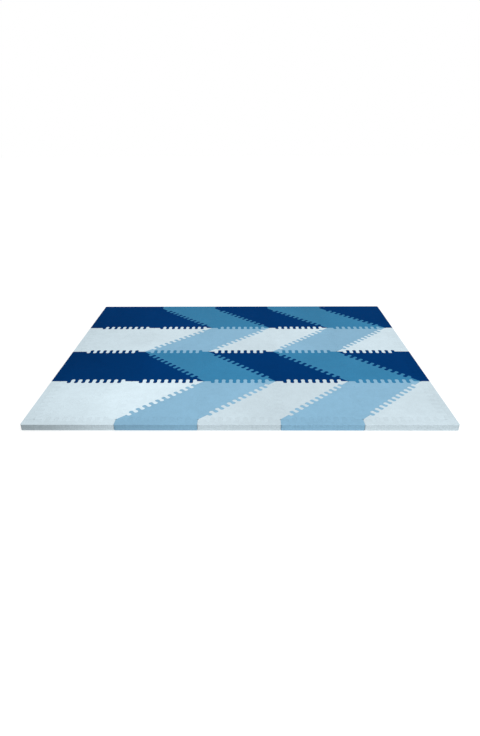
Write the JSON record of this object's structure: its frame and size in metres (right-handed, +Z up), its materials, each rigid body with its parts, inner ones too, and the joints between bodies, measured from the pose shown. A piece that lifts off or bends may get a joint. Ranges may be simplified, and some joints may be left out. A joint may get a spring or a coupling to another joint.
{
  "type": "interlocking foam floor mat",
  "caption": "Flat rectangular foam floor mat of right-angled triangle tiles that press together along toothed sides, in a chevron pattern of blues and white, inside a toothed border.",
  "frame": {"origin": "middle of the mat's underside, on the floor", "axes": "+X along the mat's longer side, +Y towards its back, +Z up out of its top face"},
  "size_m": [1.7836, 1.4436, 0.027],
  "materials": {
    "ice_white": "matte closed-cell foam, fine grained skin",
    "light_blue": "matte closed-cell foam, fine grained skin",
    "mid_blue": "matte closed-cell foam, fine grained skin",
    "navy": "matte closed-cell foam, fine grained skin"
  },
  "bodies": {
    "tile_row2_col3_right": {"tile_row2_col3_right": "navy"},
    "tile_row1_col1_left": {"tile_row1_col1_left": "ice_white"},
    "tile_row1_col1_right": {"tile_row1_col1_right": "ice_white"},
    "tile_row1_col2_left": {"tile_row1_col2_left": "ice_white"},
    "tile_row1_col2_right": {"tile_row1_col2_right": "light_blue"},
    "tile_row1_col3_left": {"tile_row1_col3_left": "light_blue"},
    "tile_row1_col3_right": {"tile_row1_col3_right": "ice_white"},
    "tile_row1_col4_left": {"tile_row1_col4_left": "ice_white"},
    "tile_row1_col4_right": {"tile_row1_col4_right": "light_blue"},
    "tile_row1_col5_left": {"tile_row1_col5_left": "light_blue"},
    "tile_row1_col5_right": {"tile_row1_col5_right": "ice_white"},
    "tile_row2_col1_left": {"tile_row2_col1_left": "navy"},
    "tile_row2_col1_right": {"tile_row2_col1_right": "navy"},
    "tile_row2_col2_left": {"tile_row2_col2_left": "navy"},
    "tile_row2_col2_right": {"tile_row2_col2_right": "mid_blue"},
    "tile_row2_col3_left": {"tile_row2_col3_left": "mid_blue"},
    "tile_row2_col4_left": {"tile_row2_col4_left": "navy"},
    "tile_row2_col4_right": {"tile_row2_col4_right": "mid_blue"},
    "tile_row2_col5_left": {"tile_row2_col5_left": "mid_blue"},
    "tile_row2_col5_right": {"tile_row2_col5_right": "navy"},
    "tile_row3_col1_left": {"tile_row3_col1_left": "ice_white"},
    "tile_row3_col1_right": {"tile_row3_col1_right": "ice_white"},
    "tile_row3_col2_left": {"tile_row3_col2_left": "ice_white"},
    "tile_row3_col2_right": {"tile_row3_col2_right": "light_blue"},
    "tile_row3_col3_left": {"tile_row3_col3_left": "light_blue"},
    "tile_row3_col3_right": {"tile_row3_col3_right": "ice_white"},
    "tile_row3_col4_left": {"tile_row3_col4_left": "ice_white"},
    "tile_row3_col4_right": {"tile_row3_col4_right": "light_blue"},
    "tile_row3_col5_left": {"tile_row3_col5_left": "light_blue"},
    "tile_row3_col5_right": {"tile_row3_col5_right": "ice_white"},
    "tile_row4_col1_left": {"tile_row4_col1_left": "navy"},
    "tile_row4_col1_right": {"tile_row4_col1_right": "navy"},
    "tile_row4_col2_left": {"tile_row4_col2_left": "navy"},
    "tile_row4_col2_right": {"tile_row4_col2_right": "mid_blue"},
    "tile_row4_col3_left": {"tile_row4_col3_left": "mid_blue"},
    "tile_row4_col3_right": {"tile_row4_col3_right": "navy"},
    "tile_row4_col4_left": {"tile_row4_col4_left": "navy"},
    "tile_row4_col4_right": {"tile_row4_col4_right": "mid_blue"},
    "tile_row4_col5_left": {"tile_row4_col5_left": "mid_blue"},
    "tile_row4_col5_right": {"tile_row4_col5_right": "navy"},
    "corner_edge_front_left": {"corner_edge_front_left": "ice_white"},
    "edge_front_col2": {"edge_front_col2": "light_blue"},
    "edge_front_col3": {"edge_front_col3": "ice_white"},
    "edge_front_col4": {"edge_front_col4": "light_blue"},
    "corner_edge_front_right": {"corner_edge_front_right": "ice_white"},
    "corner_edge_back_left": {"corner_edge_back_left": "navy"},
    "edge_back_col2": {"edge_back_col2": "mid_blue"},
    "edge_back_col3": {"edge_back_col3": "navy"},
    "edge_back_col4": {"edge_back_col4": "mid_blue"},
    "corner_edge_back_right": {"corner_edge_back_right": "navy"},
    "edge_left_row1": {"edge_left_row1": "ice_white"},
    "edge_left_row2": {"edge_left_row2": "navy"},
    "edge_left_row3": {"edge_left_row3": "ice_white"},
    "edge_left_row4": {"edge_left_row4": "navy"},
    "edge_right_row1": {"edge_right_row1": "ice_white"},
    "edge_right_row2": {"edge_right_row2": "navy"},
    "edge_right_row3": {"edge_right_row3": "ice_white"},
    "edge_right_row4": {"edge_right_row4": "navy"}
  },
  "joints": [
    {"name": "tile_row1_col1_left_lift", "type": "slide", "parent": "tile_row2_col3_right", "child": "tile_row1_col1_left", "axis": [0, 0, 1], "range_m": [0, 0.055]},
    {"name": "tile_row1_col1_right_lift", "type": "slide", "parent": "tile_row2_col3_right", "child": "tile_row1_col1_right", "axis": [0, 0, 1], "range_m": [0, 0.055]},
    {"name": "tile_row1_col2_left_lift", "type": "slide", "parent": "tile_row2_col3_right", "child": "tile_row1_col2_left", "axis": [0, 0, 1], "range_m": [0, 0.055]},
    {"name": "tile_row1_col2_right_lift", "type": "slide", "parent": "tile_row2_col3_right", "child": "tile_row1_col2_right", "axis": [0, 0, 1], "range_m": [0, 0.055]},
    {"name": "tile_row1_col3_left_lift", "type": "slide", "parent": "tile_row2_col3_right", "child": "tile_row1_col3_left", "axis": [0, 0, 1], "range_m": [0, 0.055]},
    {"name": "tile_row1_col3_right_lift", "type": "slide", "parent": "tile_row2_col3_right", "child": "tile_row1_col3_right", "axis": [0, 0, 1], "range_m": [0, 0.055]},
    {"name": "tile_row1_col4_left_lift", "type": "slide", "parent": "tile_row2_col3_right", "child": "tile_row1_col4_left", "axis": [0, 0, 1], "range_m": [0, 0.055]},
    {"name": "tile_row1_col4_right_lift", "type": "slide", "parent": "tile_row2_col3_right", "child": "tile_row1_col4_right", "axis": [0, 0, 1], "range_m": [0, 0.055]},
    {"name": "tile_row1_col5_left_lift", "type": "slide", "parent": "tile_row2_col3_right", "child": "tile_row1_col5_left", "axis": [0, 0, 1], "range_m": [0, 0.055]},
    {"name": "tile_row1_col5_right_lift", "type": "slide", "parent": "tile_row2_col3_right", "child": "tile_row1_col5_right", "axis": [0, 0, 1], "range_m": [0, 0.055]},
    {"name": "tile_row2_col1_left_lift", "type": "slide", "parent": "tile_row2_col3_right", "child": "tile_row2_col1_left", "axis": [0, 0, 1], "range_m": [0, 0.055]},
    {"name": "tile_row2_col1_right_lift", "type": "slide", "parent": "tile_row2_col3_right", "child": "tile_row2_col1_right", "axis": [0, 0, 1], "range_m": [0, 0.055]},
    {"name": "tile_row2_col2_left_lift", "type": "slide", "parent": "tile_row2_col3_right", "child": "tile_row2_col2_left", "axis": [0, 0, 1], "range_m": [0, 0.055]},
    {"name": "tile_row2_col2_right_lift", "type": "slide", "parent": "tile_row2_col3_right", "child": "tile_row2_col2_right", "axis": [0, 0, 1], "range_m": [0, 0.055]},
    {"name": "tile_row2_col3_left_lift", "type": "slide", "parent": "tile_row2_col3_right", "child": "tile_row2_col3_left", "axis": [0, 0, 1], "range_m": [0, 0.055]},
    {"name": "tile_row2_col4_left_lift", "type": "slide", "parent": "tile_row2_col3_right", "child": "tile_row2_col4_left", "axis": [0, 0, 1], "range_m": [0, 0.055]},
    {"name": "tile_row2_col4_right_lift", "type": "slide", "parent": "tile_row2_col3_right", "child": "tile_row2_col4_right", "axis": [0, 0, 1], "range_m": [0, 0.055]},
    {"name": "tile_row2_col5_left_lift", "type": "slide", "parent": "tile_row2_col3_right", "child": "tile_row2_col5_left", "axis": [0, 0, 1], "range_m": [0, 0.055]},
    {"name": "tile_row2_col5_right_lift", "type": "slide", "parent": "tile_row2_col3_right", "child": "tile_row2_col5_right", "axis": [0, 0, 1], "range_m": [0, 0.055]},
    {"name": "tile_row3_col1_left_lift", "type": "slide", "parent": "tile_row2_col3_right", "child": "tile_row3_col1_left", "axis": [0, 0, 1], "range_m": [0, 0.055]},
    {"name": "tile_row3_col1_right_lift", "type": "slide", "parent": "tile_row2_col3_right", "child": "tile_row3_col1_right", "axis": [0, 0, 1], "range_m": [0, 0.055]},
    {"name": "tile_row3_col2_left_lift", "type": "slide", "parent": "tile_row2_col3_right", "child": "tile_row3_col2_left", "axis": [0, 0, 1], "range_m": [0, 0.055]},
    {"name": "tile_row3_col2_right_lift", "type": "slide", "parent": "tile_row2_col3_right", "child": "tile_row3_col2_right", "axis": [0, 0, 1], "range_m": [0, 0.055]},
    {"name": "tile_row3_col3_left_lift", "type": "slide", "parent": "tile_row2_col3_right", "child": "tile_row3_col3_left", "axis": [0, 0, 1], "range_m": [0, 0.055]},
    {"name": "tile_row3_col3_right_lift", "type": "slide", "parent": "tile_row2_col3_right", "child": "tile_row3_col3_right", "axis": [0, 0, 1], "range_m": [0, 0.055]},
    {"name": "tile_row3_col4_left_lift", "type": "slide", "parent": "tile_row2_col3_right", "child": "tile_row3_col4_left", "axis": [0, 0, 1], "range_m": [0, 0.055]},
    {"name": "tile_row3_col4_right_lift", "type": "slide", "parent": "tile_row2_col3_right", "child": "tile_row3_col4_right", "axis": [0, 0, 1], "range_m": [0, 0.055]},
    {"name": "tile_row3_col5_left_lift", "type": "slide", "parent": "tile_row2_col3_right", "child": "tile_row3_col5_left", "axis": [0, 0, 1], "range_m": [0, 0.055]},
    {"name": "tile_row3_col5_right_lift", "type": "slide", "parent": "tile_row2_col3_right", "child": "tile_row3_col5_right", "axis": [0, 0, 1], "range_m": [0, 0.055]},
    {"name": "tile_row4_col1_left_lift", "type": "slide", "parent": "tile_row2_col3_right", "child": "tile_row4_col1_left", "axis": [0, 0, 1], "range_m": [0, 0.055]},
    {"name": "tile_row4_col1_right_lift", "type": "slide", "parent": "tile_row2_col3_right", "child": "tile_row4_col1_right", "axis": [0, 0, 1], "range_m": [0, 0.055]},
    {"name": "tile_row4_col2_left_lift", "type": "slide", "parent": "tile_row2_col3_right", "child": "tile_row4_col2_left", "axis": [0, 0, 1], "range_m": [0, 0.055]},
    {"name": "tile_row4_col2_right_lift", "type": "slide", "parent": "tile_row2_col3_right", "child": "tile_row4_col2_right", "axis": [0, 0, 1], "range_m": [0, 0.055]},
    {"name": "tile_row4_col3_left_lift", "type": "slide", "parent": "tile_row2_col3_right", "child": "tile_row4_col3_left", "axis": [0, 0, 1], "range_m": [0, 0.055]},
    {"name": "tile_row4_col3_right_lift", "type": "slide", "parent": "tile_row2_col3_right", "child": "tile_row4_col3_right", "axis": [0, 0, 1], "range_m": [0, 0.055]},
    {"name": "tile_row4_col4_left_lift", "type": "slide", "parent": "tile_row2_col3_right", "child": "tile_row4_col4_left", "axis": [0, 0, 1], "range_m": [0, 0.055]},
    {"name": "tile_row4_col4_right_lift", "type": "slide", "parent": "tile_row2_col3_right", "child": "tile_row4_col4_right", "axis": [0, 0, 1], "range_m": [0, 0.055]},
    {"name": "tile_row4_col5_left_lift", "type": "slide", "parent": "tile_row2_col3_right", "child": "tile_row4_col5_left", "axis": [0, 0, 1], "range_m": [0, 0.055]},
    {"name": "tile_row4_col5_right_lift", "type": "slide", "parent": "tile_row2_col3_right", "child": "tile_row4_col5_right", "axis": [0, 0, 1], "range_m": [0, 0.055]},
    {"name": "corner_edge_front_left_lift", "type": "slide", "parent": "tile_row2_col3_right", "child": "corner_edge_front_left", "axis": [0, 0, 1], "range_m": [0, 0.055]},
    {"name": "edge_front_col2_lift", "type": "slide", "parent": "tile_row2_col3_right", "child": "edge_front_col2", "axis": [0, 0, 1], "range_m": [0, 0.055]},
    {"name": "edge_front_col3_lift", "type": "slide", "parent": "tile_row2_col3_right", "child": "edge_front_col3", "axis": [0, 0, 1], "range_m": [0, 0.055]},
    {"name": "edge_front_col4_lift", "type": "slide", "parent": "tile_row2_col3_right", "child": "edge_front_col4", "axis": [0, 0, 1], "range_m": [0, 0.055]},
    {"name": "corner_edge_front_right_lift", "type": "slide", "parent": "tile_row2_col3_right", "child": "corner_edge_front_right", "axis": [0, 0, 1], "range_m": [0, 0.055]},
    {"name": "corner_edge_back_left_lift", "type": "slide", "parent": "tile_row2_col3_right", "child": "corner_edge_back_left", "axis": [0, 0, 1], "range_m": [0, 0.055]},
    {"name": "edge_back_col2_lift", "type": "slide", "parent": "tile_row2_col3_right", "child": "edge_back_col2", "axis": [0, 0, 1], "range_m": [0, 0.055]},
    {"name": "edge_back_col3_lift", "type": "slide", "parent": "tile_row2_col3_right", "child": "edge_back_col3", "axis": [0, 0, 1], "range_m": [0, 0.055]},
    {"name": "edge_back_col4_lift", "type": "slide", "parent": "tile_row2_col3_right", "child": "edge_back_col4", "axis": [0, 0, 1], "range_m": [0, 0.055]},
    {"name": "corner_edge_back_right_lift", "type": "slide", "parent": "tile_row2_col3_right", "child": "corner_edge_back_right", "axis": [0, 0, 1], "range_m": [0, 0.055]},
    {"name": "edge_left_row1_lift", "type": "slide", "parent": "tile_row2_col3_right", "child": "edge_left_row1", "axis": [0, 0, 1], "range_m": [0, 0.055]},
    {"name": "edge_left_row2_lift", "type": "slide", "parent": "tile_row2_col3_right", "child": "edge_left_row2", "axis": [0, 0, 1], "range_m": [0, 0.055]},
    {"name": "edge_left_row3_lift", "type": "slide", "parent": "tile_row2_col3_right", "child": "edge_left_row3", "axis": [0, 0, 1], "range_m": [0, 0.055]},
    {"name": "edge_left_row4_lift", "type": "slide", "parent": "tile_row2_col3_right", "child": "edge_left_row4", "axis": [0, 0, 1], "range_m": [0, 0.055]},
    {"name": "edge_right_row1_lift", "type": "slide", "parent": "tile_row2_col3_right", "child": "edge_right_row1", "axis": [0, 0, 1], "range_m": [0, 0.055]},
    {"name": "edge_right_row2_lift", "type": "slide", "parent": "tile_row2_col3_right", "child": "edge_right_row2", "axis": [0, 0, 1], "range_m": [0, 0.055]},
    {"name": "edge_right_row3_lift", "type": "slide", "parent": "tile_row2_col3_right", "child": "edge_right_row3", "axis": [0, 0, 1], "range_m": [0, 0.055]},
    {"name": "edge_right_row4_lift", "type": "slide", "parent": "tile_row2_col3_right", "child": "edge_right_row4", "axis": [0, 0, 1], "range_m": [0, 0.055]}
  ]
}
